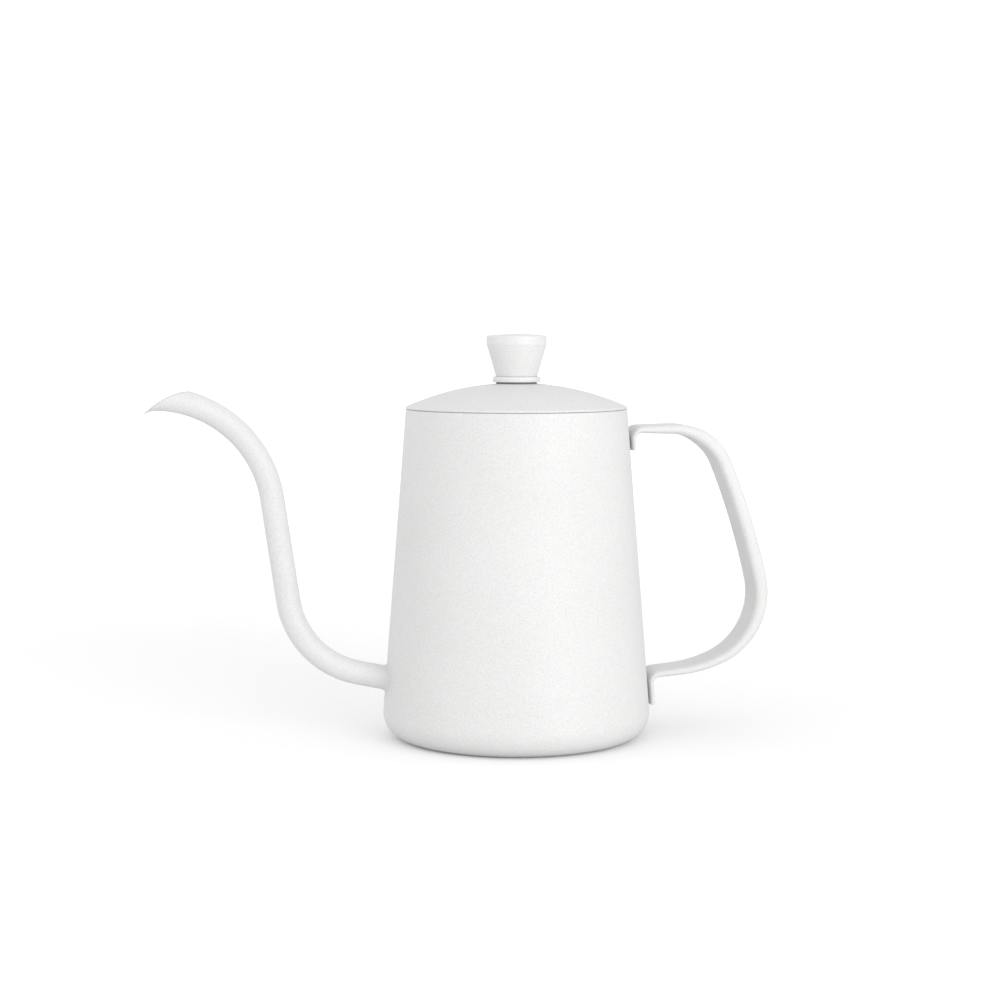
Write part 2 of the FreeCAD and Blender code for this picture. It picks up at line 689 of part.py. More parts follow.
def make_knob_screw():
    """Cap screw driven up through the dome, with a rounded head and a hexagon socket."""
    head_foot = f"{HEAD_TOP} - head_height"
    body = lathe("knob_screw", [
        ("0", head_foot),
        ("head_radius", head_foot),
        ("head_radius", HEAD_TOP),
        ("screw_radius", HEAD_TOP),
        ("screw_radius", f"{HEAD_TOP} + screw_length"),
        ("0", f"{HEAD_TOP} + screw_length"),
    ])
    round_edges(body, "head_round", ring_edges(body.Tip, [("head_radius", head_foot)]))
    socket = new_sketch(body, "socket", "XY_Plane")
    socket.setExpression("AttachmentOffset.Base.z", full(head_foot))
    corners = []
    for number in range(6):
        turn = 60 * number
        corners.append((f"socket_radius * cos({turn})", f"socket_radius * sin({turn})"))
    add_outline(socket, corners)
    recess = body.newObject("PartDesign::Pocket", "knob_screw_recess")
    recess.Profile = socket
    recess.Reversed = True
    recess.setExpression("Length", full("socket_depth"))
    doc.recompute()


def make_knob_washer():
    """Flat washer under the dome."""
    lathe("knob_washer", [
        ("screw_hole", SPRING_TOP),
        ("screw_hole", "washer_top"),
        ("washer_radius", "washer_top"),
        ("washer_radius", SPRING_TOP),
    ])


def make_knob_spring_washer():
    """Split lock washer between the flat washer and the screw's head."""
    body = lathe("knob_spring_washer", [
        ("screw_hole", HEAD_TOP),
        ("screw_hole", SPRING_TOP),
        ("spring_radius", SPRING_TOP),
        ("spring_radius", HEAD_TOP),
    ])
    split = new_sketch(body, "split", "XY_Plane")
    add_outline(split, [
        ("split_start", "-spring_slot / 2"),
        ("spring_radius + split_margin", "-spring_slot / 2"),
        ("spring_radius + split_margin", "spring_slot / 2"),
        ("split_start", "spring_slot / 2"),
    ])
    pocket_through(body, split)


def make_parts():
    make_body_shell()
    make_base_plate()
    make_base_seam_weld()
    make_spout_tube()
    make_spout_weld()
    make_handle_strap()
    make_handle_weld("handle_upper_weld", "upper_weld_low", "upper_weld_high", "tab_gap")
    make_handle_weld("handle_lower_weld", "lower_weld_low", "lower_weld_high", "lower_tab_gap")
    make_lid_dome()
    make_lid_skirt()
    make_lid_skirt_welds()
    make_lid_seal()
    make_knob_gasket()
    make_knob_collar()
    make_knob()
    make_knob_insert()
    make_knob_screw()
    make_knob_washer()
    make_knob_spring_washer()


def find_parts():
    """The pieces to write: every body, and the group of spot welds."""
    return [item for item in doc.Objects if item.TypeId in ("PartDesign::Body", "Part::Compound")]


make_parts()
doc.recompute()
for item in doc.Objects:
    if "Invalid" in item.State or "Error" in item.State:
        raise RuntimeError(f"{item.Name} failed: {item.State}")
parts = find_parts()
for part in parts:
    if part.Shape.isNull() or not part.Shape.isValid():
        raise RuntimeError(f"{part.Label} has no valid shape")

os.makedirs("parts", exist_ok=True)
for part in parts:
    part.Shape.exportStep(f"parts/{part.Label}.step")
    box = part.Shape.BoundBox
    low = f"{box.XMin:.1f} {box.YMin:.1f} {box.ZMin:.1f}"
    high = f"{box.XMax:.1f} {box.YMax:.1f} {box.ZMax:.1f}"
    solids = len(part.Shape.Solids)
    print(f"{part.Label}: {part.Shape.Volume:.0f} mm3, {solids} solid(s), from {low} to {high}")
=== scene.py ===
import math

import bmesh
import bpy
from mathutils import Euler, Matrix, Vector


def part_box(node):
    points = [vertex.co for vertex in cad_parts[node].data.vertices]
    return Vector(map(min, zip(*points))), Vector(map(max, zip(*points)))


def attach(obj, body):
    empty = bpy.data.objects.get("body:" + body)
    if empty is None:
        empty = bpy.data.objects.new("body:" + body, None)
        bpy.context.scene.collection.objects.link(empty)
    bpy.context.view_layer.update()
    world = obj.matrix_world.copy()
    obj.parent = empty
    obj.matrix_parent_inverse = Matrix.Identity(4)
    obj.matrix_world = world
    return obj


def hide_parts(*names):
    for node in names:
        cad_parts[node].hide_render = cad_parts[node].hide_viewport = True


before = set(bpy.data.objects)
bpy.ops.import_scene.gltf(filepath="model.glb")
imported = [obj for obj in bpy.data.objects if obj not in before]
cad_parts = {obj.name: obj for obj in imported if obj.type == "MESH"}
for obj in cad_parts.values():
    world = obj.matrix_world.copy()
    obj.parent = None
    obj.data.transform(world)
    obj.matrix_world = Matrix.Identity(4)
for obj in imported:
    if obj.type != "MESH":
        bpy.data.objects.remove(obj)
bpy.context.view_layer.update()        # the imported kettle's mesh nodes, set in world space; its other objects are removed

# A small gooseneck kettle: white powder coat, a strap handle and a lift-off lid.
# +Z up, spout towards -X, grip towards +X. Sizes below are in millimetres, and every
# mesh is made in millimetres and turned into metres when its piece is finished.
mm = 0.001


def nodeBox(name):
    # lowest and highest corner of a frame node, in millimetres
    low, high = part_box(name)
    return low / mm, high / mm


def addCorners(mesh, outline, closed=True):
    # a chain of edges in the XZ plane through (radius, height, round) corners
    corners = [mesh.verts.new((spot[0], 0, spot[1])) for spot in outline]
    for first, second in zip(corners, corners[1:]):
        mesh.edges.new((first, second))
    if closed:
        mesh.edges.new((corners[-1], corners[0]))
    return corners


def roundCorners(mesh, corners, outline, segments=6):
    # rounds each corner that has a third number, its radius
    jobs = []
    for number, spot in enumerate(outline):
        if len(spot) == 3:
            here = corners[number].co
            before = corners[number - 1].co
            after = corners[(number + 1) % len(corners)].co
            turn = (here - before).angle(after - here)
            jobs.append((corners[number], spot[2] * math.tan(turn / 2)))
    for corner, reach in jobs:
        bmesh.ops.bevel(mesh, geom=[corner], offset=reach, offset_type="OFFSET", segments=segments,
                        profile=0.5, affect="VERTICES", material=-1, clamp_overlap=False)


def lathe(outline, steps=192, closed=True, segments=6):
    # turns an outline about the kettle's axis and closes it, faces outwards
    mesh = bmesh.new()
    corners = addCorners(mesh, outline, closed)
    roundCorners(mesh, corners, outline, segments)
    bmesh.ops.spin(mesh, geom=mesh.verts[:] + mesh.edges[:], cent=(0, 0, 0), axis=(0, 0, 1),
                   angle=2 * math.pi, steps=steps, use_merge=True)
    bmesh.ops.remove_doubles(mesh, verts=mesh.verts[:], dist=0.002)
    bmesh.ops.recalc_face_normals(mesh, faces=mesh.faces[:])
    return mesh


def pathFrame(point, angle):
    # local X runs along the path, local Y across it and local Z to its left
    return Matrix.Translation(point) @ Matrix.Rotation(-angle, 4, "Y")


def sweep(mesh, ring, start, heading, runs, finest=2.5):
    # carries a ring of edges along straights and bends in the XZ plane, and thickens it as it goes
    point = Vector((start[0], 0, start[1]))
    angle = math.radians(heading)
    thickness = runs[0]["thick"]
    for run in runs:
        turn = math.radians(run.get("turn", 0))
        steps = max(run.get("steps", 1), math.ceil(abs(run.get("turn", 0)) / finest))
        growth = (run["thick"] / thickness) ** (1 / steps)
        thickness = run["thick"]
        for _ in range(steps):
            grown = bmesh.ops.extrude_edge_only(mesh, edges=ring)["geom"]
            verts = [item for item in grown if isinstance(item, bmesh.types.BMVert)]
            fresh = set(verts)
            ring = [item for item in grown
                    if isinstance(item, bmesh.types.BMEdge) and fresh.issuperset(item.verts)]
            along = Vector((math.cos(angle), 0, math.sin(angle)))
            if turn == 0:
                move = along * run["size"] / steps
                bmesh.ops.translate(mesh, vec=move, verts=verts)
                point = point + move
            else:
                left = Vector((-along.z, 0, along.x))
                centre = point + left * math.copysign(run["size"], turn)
                swing = Matrix.Rotation(-turn / steps, 4, "Y")
                bmesh.ops.rotate(mesh, cent=centre, matrix=swing, verts=verts)
                point = centre + swing @ (point - centre)
                angle += turn / steps
            bmesh.ops.scale(mesh, vec=(1, 1, growth), space=pathFrame(point, angle).inverted(), verts=verts)
    return ring


def meshObject(name, mesh):
    # a new object from a mesh in millimetres
    bmesh.ops.scale(mesh, vec=(mm, mm, mm), verts=mesh.verts[:])
    data = bpy.data.meshes.new(name)
    mesh.to_mesh(data)
    mesh.free()
    piece = bpy.data.objects.new(name, data)
    bpy.context.scene.collection.objects.link(piece)
    return piece


def cutHole(piece, radius, low, high):
    # cuts a round hole along the line from low to high
    tool = bmesh.new()
    line = high - low
    turned = line.to_track_quat("Z", "Y").to_matrix().to_4x4()
    bmesh.ops.create_cone(tool, cap_ends=True, segments=64, radius1=radius, radius2=radius,
                          depth=line.length, matrix=Matrix.Translation((low + high) / 2) @ turned)
    cutter = meshObject("cutter", tool)
    hole = piece.modifiers.new("hole", "BOOLEAN")
    hole.operation = "DIFFERENCE"
    hole.solver = "EXACT"
    hole.object = cutter
    cut = bpy.data.meshes.new_from_object(piece.evaluated_get(bpy.context.evaluated_depsgraph_get()))
    piece.modifiers.clear()
    piece.data = cut
    bpy.data.objects.remove(cutter)


def finishPiece(piece, body, materials, sharpAngle=35):
    # paints a piece, smooths its shading, and hands it to its body in place of its frame node
    piece.data.materials.clear()
    for material in materials:
        piece.data.materials.append(material)
    for face in piece.data.polygons:
        face.use_smooth = True
    piece.data.set_sharp_from_angle(angle=math.radians(sharpAngle))
    even = piece.modifiers.new("evenShading", "WEIGHTED_NORMAL")
    even.keep_sharp = True
    even.weight = 80
    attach(piece, body)
    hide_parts(piece.name.removesuffix("_looks"))
    return piece


class Signal:
    # an output socket of a material; arithmetic on it adds Math nodes
    def __init__(self, tree, socket=None):
        self.tree = tree
        self.socket = socket

    def split(self):
        # the three numbers of a vector
        made = self.tree.nodes.new("ShaderNodeSeparateXYZ")
        self.tree.links.new(self.socket, made.inputs[0])
        return [Signal(self.tree, output) for output in made.outputs]

    def node(self, kind, settings, values, output=0):
        # any node: settings first, then what goes into its sockets
        made = self.tree.nodes.new(kind)
        for name, setting in settings.items():
            setattr(made, name, setting)
        for name, given in values.items():
            if isinstance(given, Signal):
                self.tree.links.new(given.socket, made.inputs[name])
            else:
                made.inputs[name].default_value = given
        return Signal(self.tree, made.outputs[output])

    def sum(self, operation, first, second=0.0):
        return self.node("ShaderNodeMath", {"operation": operation}, {0: first, 1: second})

    def __add__(self, other):
        return self.sum("ADD", self, other)

    def __radd__(self, other):
        return self.sum("ADD", other, self)

    def __rsub__(self, other):
        return self.sum("SUBTRACT", other, self)

    def __mul__(self, other):
        return self.sum("MULTIPLY", self, other)

    def __rmul__(self, other):
        return self.sum("MULTIPLY", other, self)

    def __truediv__(self, other):
        return self.sum("DIVIDE", self, other)

    def mixed(self, low, high):
        # a colour between two, by this value
        return self.node("ShaderNodeMix", {"data_type": "RGBA"}, {0: self, 6: low, 7: high}, 2)

    def eased(self, low, high):
        # 0 below low, 1 above high, smooth between
        return self.node("ShaderNodeMapRange", {"interpolation_type": "SMOOTHSTEP"},
                         {"Value": self, "From Min": low, "From Max": high})


def newMaterial(name):
    # an empty material, and the signal of the piece's own coordinates in metres
    material = bpy.data.materials.new(name)
    material.use_nodes = True
    material.node_tree.nodes.clear()
    place = Signal(material.node_tree).node("ShaderNodeTexCoord", {}, {}, 3)
    return material, place


def noise(place, grain, detail=2.0, roughness=0.5):
    # noise whose grains are that many millimetres across
    return place.node("ShaderNodeTexNoise", {}, {"Vector": place, "Scale": 1 / (grain * mm), "Detail": detail,
                                                 "Roughness": roughness})


def closeMaterial(place, height, depth, values):
    # the shader itself, with a bump whose full height is that many millimetres
    bump = place.node("ShaderNodeBump", {}, {"Height": height, "Distance": depth * mm, "Strength": 1.0})
    shader = place.node("ShaderNodeBsdfPrincipled", {}, {"Normal": bump, **values})
    end = place.tree.nodes.new("ShaderNodeOutputMaterial")
    place.tree.links.new(shader.socket, end.inputs["Surface"])


def turnedMarks(place, fine, slow):
    # value of fine circular tool marks about the kettle's axis
    x, y, z = place.split()
    radius = place.sum("SQRT", x * x + y * y)
    nearAxis = 1e-5      # keeps the division safe on the axis
    side = x / (radius + nearAxis)
    rings = place.node("ShaderNodeCombineXYZ", {}, {0: radius / (fine * mm), 1: z / (fine * mm),
                                                    2: side * slow})
    return place.node("ShaderNodeTexNoise", {}, {"Vector": rings, "Scale": 1.0, "Detail": 3.0})


coat = {
    "white": (0.760, 0.759, 0.756, 1), "shade": (0.660, 0.659, 0.656, 1),
    "sand": 0.42, "orangePeel": 1.6, "drift": 35, "depth": 0.060,
    "sandPart": 0.75, "peelPart": 0.25, "sandPaintedShade": 0.8, "driftShade": 0.4, "shadeFull": 1.15,
    "roughness": 0.44, "roughnessSpread": 0.12, "shine": 0.42,
}


def whitePowderCoat():
    # fine sandy paint: small grains over a soft orange peel; painted shade darkens the colour in the hollows
    # between the grains, and a broad drift varies the tone at random
    material, place = newMaterial("whitePowderCoat")
    sand = noise(place, coat["sand"], 3.0, 0.6)
    peel = noise(place, coat["orangePeel"], 1.0)
    drift = noise(place, coat["drift"], 2.0)
    height = sand * coat["sandPart"] + peel * coat["peelPart"]
    # painted shade: the colour goes darker where the sand bump is low, between the grains; the drift part is
    # random tone
    hollowShadeAndTone = sand.eased(0.35, 0.62) * coat["sandPaintedShade"] + drift * coat["driftShade"]
    hollowShadeAndTone = hollowShadeAndTone.eased(0.0, coat["shadeFull"])
    closeMaterial(place, height, coat["depth"], {
        "Base Color": hollowShadeAndTone.mixed(coat["shade"], coat["white"]),
        "Roughness": coat["roughness"] + sand * coat["roughnessSpread"],
        "Specular IOR Level": coat["shine"],
    })
    return material


knobPlastic = {
    "white": (0.775, 0.774, 0.771, 1), "shade": (0.690, 0.689, 0.686, 1),
    "grain": 0.42, "drift": 12, "depth": 0.035, "grainPaintedShade": 0.8, "driftShade": 0.3,
    "roughness": 0.36, "roughnessSpread": 0.10, "shine": 0.5,
}


def whiteKnobPlastic():
    # satin moulded plastic with a light spark texture; painted shade darkens the colour in the hollows of the
    # spark bump, and a broad drift varies the tone at random
    material, place = newMaterial("whiteKnobPlastic")
    spark = noise(place, knobPlastic["grain"], 2.0)
    drift = noise(place, knobPlastic["drift"], 1.0)
    # painted shade: darker where the spark bump is low; the drift part is random tone
    hollowShadeAndTone = spark.eased(0.36, 0.62) * knobPlastic["grainPaintedShade"] + drift * knobPlastic["driftShade"]
    closeMaterial(place, spark, knobPlastic["depth"], {
        "Base Color": hollowShadeAndTone.mixed(knobPlastic["shade"], knobPlastic["white"]),
        "Roughness": knobPlastic["roughness"] + spark * knobPlastic["roughnessSpread"],
        "Specular IOR Level": knobPlastic["shine"],
    })
    return material


heatWasher = {
    "dark": (0.150, 0.150, 0.152, 1), "dusty": (0.230, 0.229, 0.228, 1),
    "bloom": 0.8, "depth": 0.02, "roughness": 0.62, "roughnessSpread": 0.16,
}


def darkHeatWasher():
    # dark grey silicone with a dusty bloom
    material, place = newMaterial("darkHeatWasher")
    bloom = noise(place, heatWasher["bloom"], 3.0)
    closeMaterial(place, bloom, heatWasher["depth"], {
        "Base Color": bloom.mixed(heatWasher["dark"], heatWasher["dusty"]),
        "Roughness": heatWasher["roughness"] + bloom * heatWasher["roughnessSpread"],
    })
    return material


sealSilicone = {
    "thin": (0.66, 0.66, 0.63, 1), "thick": (0.76, 0.76, 0.73, 1), "flow": 6, "skin": 0.5, "depth": 0.01,
    "roughness": 0.34, "roughnessSpread": 0.12, "milky": 0.25, "milkyDepth": 0.002,
}


def milkySilicone():
    # seal ring, slightly see-through, with mould flow
    material, place = newMaterial("milkySilicone")
    flow = noise(place, sealSilicone["flow"], 3.0)
    skin = noise(place, sealSilicone["skin"], 1.0)
    closeMaterial(place, skin, sealSilicone["depth"], {
        "Base Color": flow.mixed(sealSilicone["thin"], sealSilicone["thick"]),
        "Roughness": sealSilicone["roughness"] + skin * sealSilicone["roughnessSpread"],
        "Subsurface Weight": sealSilicone["milky"],
        "Subsurface Scale": sealSilicone["milkyDepth"],
    })
    return material


sheetSteel = {
    "dark": (0.50, 0.49, 0.475, 1), "bright": (0.66, 0.655, 0.64, 1),
    "marks": 0.16, "slow": 2.2, "cloud": 14, "depth": 0.010, "marksPart": 0.6, "cloudPart": 0.4,
    "roughness": 0.26, "marksRough": 0.16, "cloudRough": 0.06,
}


def drawnSteel():
    # satin stainless sheet with circular polishing marks and a soft cloud of older ones
    material, place = newMaterial("drawnSteel")
    marks = turnedMarks(place, sheetSteel["marks"], sheetSteel["slow"])
    cloud = noise(place, sheetSteel["cloud"], 3.0)
    tone = marks * sheetSteel["marksPart"] + cloud * sheetSteel["cloudPart"]
    rough = sheetSteel["roughness"] + marks * sheetSteel["marksRough"] + cloud * sheetSteel["cloudRough"]
    closeMaterial(place, marks, sheetSteel["depth"], {
        "Base Color": tone.mixed(sheetSteel["dark"], sheetSteel["bright"]),
        "Metallic": 1.0,
        "Roughness": rough,
    })
    return material


weldMetal = {
    "grey": (0.52, 0.50, 0.48, 1), "straw": (0.56, 0.47, 0.34, 1),
    "ripple": 0.7, "patch": 5, "depth": 0.05, "roughness": 0.34, "roughnessSpread": 0.20,
}


def weldSteel():
    # weld metal: warmer, with fine ripples and a straw-coloured heat tint in patches
    material, place = newMaterial("weldSteel")
    ripple = noise(place, weldMetal["ripple"], 2.0)
    tint = noise(place, weldMetal["patch"], 2.0)
    closeMaterial(place, ripple, weldMetal["depth"], {
        "Base Color": tint.eased(0.4, 0.7).mixed(weldMetal["grey"], weldMetal["straw"]),
        "Metallic": 1.0,
        "Roughness": weldMetal["roughness"] + ripple * weldMetal["roughnessSpread"],
    })
    return material


insertBrass = {
    "dull": (0.55, 0.39, 0.16, 1), "bright": (0.74, 0.56, 0.27, 1),
    "marks": 0.10, "slow": 1.5, "patch": 2.5, "depth": 0.012, "roughness": 0.24, "roughnessSpread": 0.20,
}


def turnedBrass():
    # threaded bush with turning marks, duller in patches
    material, place = newMaterial("turnedBrass")
    marks = turnedMarks(place, insertBrass["marks"], insertBrass["slow"])
    dull = noise(place, insertBrass["patch"], 3.0)
    closeMaterial(place, marks, insertBrass["depth"], {
        "Base Color": dull.mixed(insertBrass["dull"], insertBrass["bright"]),
        "Metallic": 1.0,
        "Roughness": insertBrass["roughness"] + dull * insertBrass["roughnessSpread"],
    })
    return material


screwZinc = {
    "dark": (0.56, 0.57, 0.59, 1), "bright": (0.72, 0.72, 0.73, 1),
    "mottle": 1.1, "skin": 0.18, "depth": 0.006, "roughness": 0.24, "roughnessSpread": 0.18,
}


def brightZinc():
    # zinc plate with a faint crystalline mottle
    material, place = newMaterial("brightZinc")
    mottle = noise(place, screwZinc["mottle"], 4.0, 0.65)
    fine = noise(place, screwZinc["skin"], 1.0)
    closeMaterial(place, fine, screwZinc["depth"], {
        "Base Color": mottle.mixed(screwZinc["dark"], screwZinc["bright"]),
        "Metallic": 1.0,
        "Roughness": screwZinc["roughness"] + mottle * screwZinc["roughnessSpread"],
    })
    return material


finishes = {
    "coat": whitePowderCoat(), "plastic": whiteKnobPlastic(), "washer": darkHeatWasher(),
    "silicone": milkySilicone(), "steel": drawnSteel(), "weld": weldSteel(),
    "brass": turnedBrass(), "zinc": brightZinc(),
}
print("materials made:", len(finishes))


rim = nodeBox("body_shell")[1].z
shell = {
    "rimRadius": 40.35, "lean": math.radians(4.46), "wall": 0.8, "footRound": 9.0, "footOpening": 36.0,
    "rimRound": 0.6, "mouth": 36.6, "lipDepth": 5.3, "sheetEdge": 0.2, "bandHeight": 35.0,
    "holeBack": 2, "holeReach": 8,
}
spout = {
    "start": (-46.0, 21.92), "rise": 12.2, "radius": 4.36, "wall": 0.7, "holePlay": 0.02, "lipRound": 0.16,
    "runs": [
        {"size": 12.75, "thick": 1.0, "steps": 3},
        {"size": 32.3, "turn": -69.5, "thick": 1.0},
        {"size": 37.6, "thick": 1.0, "steps": 4},
        {"size": 42.1, "turn": 79.7, "thick": 1.0},
        {"size": 12.0, "turn": 42.0, "thick": 1.0},
    ],
    "cutRadius": 29.0, "cutBack": (-117.3, 127.45), "cutFront": (-134.0, 119.3), "cuts": 12,
    "cutEnd": (-2.0, 0.0, 1.0), "cutMargin": 0.3, "noseLength": 8, "sides": 56, "lipAngle": 55,
    "bead": 5.0, "beadLength": 1.7, "beadSink": 0.35, "beadFlare": 0.25, "beadBite": 0.1,
    "beadRipple": 0.05, "ripples": 46,
}


def wallRadius(height):
    # outside radius of the leaning wall
    return shell["rimRadius"] + math.tan(shell["lean"]) * (rim - height)


def innerRadius(height):
    return wallRadius(height) - shell["wall"] / math.cos(shell["lean"])


def rootDirection():
    # the way the spout leaves the body
    tilt = math.radians(180 - spout["rise"])
    return Vector((math.cos(tilt), 0, math.sin(tilt)))


def makeBodyShell():
    wall, mouth, edge = shell["wall"], shell["mouth"], shell["sheetEdge"]
    lipFoot = rim - shell["lipDepth"]
    outline = [
        (shell["footOpening"], 0, edge),
        (wallRadius(0), 0, shell["footRound"]),
        (wallRadius(shell["bandHeight"]), shell["bandHeight"]),
        (wallRadius(rim), rim, shell["rimRound"]),
        (mouth, rim, shell["rimRound"]),
        (mouth, lipFoot, edge),
        (mouth + wall, lipFoot, edge),
        (mouth + wall, rim - wall),
        (innerRadius(rim - wall), rim - wall),
        (innerRadius(shell["bandHeight"]), shell["bandHeight"]),
        (innerRadius(wall), wall, shell["footRound"] - wall),
        (shell["footOpening"], wall, edge),
    ]
    mesh = lathe(outline, steps=256, segments=10)
    for face in mesh.faces:
        middle = face.calc_center_median()
        radial = Vector((middle.x, middle.y, 0))
        outward = face.normal.dot(radial.normalized())
        if middle.z < lipFoot:
            bare = outward < -0.05 or face.normal.z > 0.5
        else:
            underLip = mouth + wall / 2 < radial.length < wallRadius(middle.z) - wall / 2
            bare = underLip and middle.z < rim - wall / 2
        face.material_index = 1 if bare else 0
    piece = meshObject("body_shell_looks", mesh)
    start = Vector((spout["start"][0], 0, spout["start"][1]))
    direction = rootDirection()
    cutHole(piece, spout["radius"] + spout["holePlay"], start - direction * shell["holeBack"],
            start + direction * shell["holeReach"])
    return finishPiece(piece, "kettle", [finishes["coat"], finishes["steel"]])


def makeSpoutTube():
    # the tube's outer and inner skins, cut across the lip on a curve and joined at both ends
    mesh = bmesh.new()
    heading = 180 - spout["rise"]
    start = pathFrame((spout["start"][0], 0, spout["start"][1]), math.radians(heading))
    upright = Matrix.Rotation(math.radians(90), 4, "Y")
    for radius in (spout["radius"], spout["radius"] - spout["wall"]):
        skinStart = len(mesh.faces)
        made = bmesh.ops.create_circle(mesh, cap_ends=False, segments=spout["sides"], radius=radius,
                                       matrix=start @ upright)
        ring = list({edge for vert in made["verts"] for edge in vert.link_edges})
        sweep(mesh, ring, spout["start"], heading, spout["runs"])
        mesh.faces.ensure_lookup_table()
        for face in mesh.faces[skinStart:]:
            face.material_index = 0 if radius == spout["radius"] else 1
    high = Vector((spout["cutBack"][0], 0, spout["cutBack"][1]))
    low = Vector((spout["cutFront"][0], 0, spout["cutFront"][1]))
    chord = low - high
    inward = Vector((-chord.z, 0, chord.x)).normalized()
    deep = math.sqrt(spout["cutRadius"] ** 2 - (chord.length / 2) ** 2)
    centre = (high + low) / 2 + inward * deep
    first = math.atan2(high.z - centre.z, high.x - centre.x)
    last = math.atan2(low.z - centre.z, low.x - centre.x)
    cuts = [(low, Vector(spout["cutEnd"]))]
    for number in range(spout["cuts"]):
        angle = first + (last - first) * (number + 0.5) / spout["cuts"]
        outward = Vector((math.cos(angle), 0, math.sin(angle)))
        cuts.append((centre + outward * spout["cutRadius"], outward))
    for place, outward in cuts:
        nose = [vert for vert in mesh.verts if vert.co.x < high.x + spout["cutMargin"]]
        beyond = set(nose)
        geometry = nose + [item for item in mesh.edges[:] + mesh.faces[:] if beyond.issuperset(item.verts)]
        bmesh.ops.bisect_plane(mesh, geom=geometry, dist=0.0001, plane_co=place,
                               plane_no=outward, clear_outer=True)
    bmesh.ops.remove_doubles(mesh, verts=mesh.verts[:], dist=0.01)
    loose = [edge for edge in mesh.edges if edge.is_boundary]
    nearLip = [edge for edge in loose if edge.verts[0].co.x < high.x + spout["noseLength"]]
    nearBody = [edge for edge in loose if edge not in nearLip]
    bmesh.ops.bridge_loops(mesh, edges=nearLip)
    bmesh.ops.bridge_loops(mesh, edges=nearBody)
    bmesh.ops.recalc_face_normals(mesh, faces=mesh.faces[:])
    piece = meshObject("spout_tube_looks", mesh)
    lip = piece.modifiers.new("lipEdges", "BEVEL")
    lip.width = spout["lipRound"] * mm
    lip.segments = 3
    lip.limit_method = "ANGLE"
    lip.angle_limit = math.radians(spout["lipAngle"])
    return finishPiece(piece, "kettle", [finishes["coat"], finishes["steel"]], sharpAngle=50)


def makeSpoutWeld():
    # a fillet of weld metal that follows the wall around the tube, with faint ripples under the paint
    tube, bead, reach = spout["radius"], spout["bead"], spout["beadLength"]
    inside, foot = tube - spout["beadBite"], -spout["beadSink"]
    outline = [(inside, foot), (bead + spout["beadFlare"], foot), (bead, 0.06),
               (bead - 0.22, reach * 0.22), (tube + 0.18, reach * 0.58), (tube + 0.04, reach),
               (inside, reach)]
    mesh = lathe(outline, steps=184)
    direction = rootDirection()
    start = Vector((spout["start"][0], 0, spout["start"][1]))
    turned = direction.to_track_quat("Z", "Y").to_matrix().to_4x4()
    for vert in mesh.verts:
        around = math.atan2(vert.co.y, vert.co.x)
        outer = (vert.co.xy.length - tube) / (bead - tube)
        if outer > 0.1:
            vert.co.xy *= 1 + spout["beadRipple"] / bead * math.sin(spout["ripples"] * around)
        along = vert.co.z
        foot = start + turned @ Vector((vert.co.x, vert.co.y, 0))
        depth = 2.0
        for _ in range(4):      # steps along the tube until it meets the wall
            spot = foot + direction * depth
            depth += (wallRadius(spot.z) - spot.xy.length) / abs(direction.x)
        vert.co = foot + direction * (depth + along)
    bmesh.ops.recalc_face_normals(mesh, faces=mesh.faces[:])
    return finishPiece(meshObject("spout_weld_looks", mesh), "kettle", [finishes["coat"]])


makeBodyShell()
makeSpoutTube()
makeSpoutWeld()
print("body, spout and weld bead made")


strap = {
    "width": 16.0, "thick": 5.25, "edgeRound": 2.25, "tabFoot": nodeBox("handle_upper_weld")[0].z - 1.0,
    "tabGap": 0.15, "tabThick": 1.9, "endRound": 0.25,
    # every stretch from the upper tab to the lower one, with the bar's thickness at its end
    "runs": [
        {"size": 3.73, "thick": 1.9},
        {"size": 3.55, "turn": -94.46, "thick": 2.75, "steps": 24},
        {"size": 11.86, "thick": 3.5, "steps": 6},
        {"size": 21.03, "turn": -33.75, "thick": 5.0},
        {"size": 21.03, "turn": -33.75, "thick": 5.25},
        {"size": 260.3, "turn": -9.9, "thick": 5.3, "steps": 12},
        {"size": 26.47, "turn": -39.35, "thick": 4.6},
        {"size": 26.47, "turn": -39.35, "thick": 3.4},
        {"size": 48.2, "turn": -18.5, "thick": 2.75},
        {"size": 8.4, "thick": 2.6, "steps": 3},
        {"size": 3.1, "turn": 89.06, "thick": 2.0, "steps": 22},
        {"size": 8.0, "thick": 1.9},
    ],
}


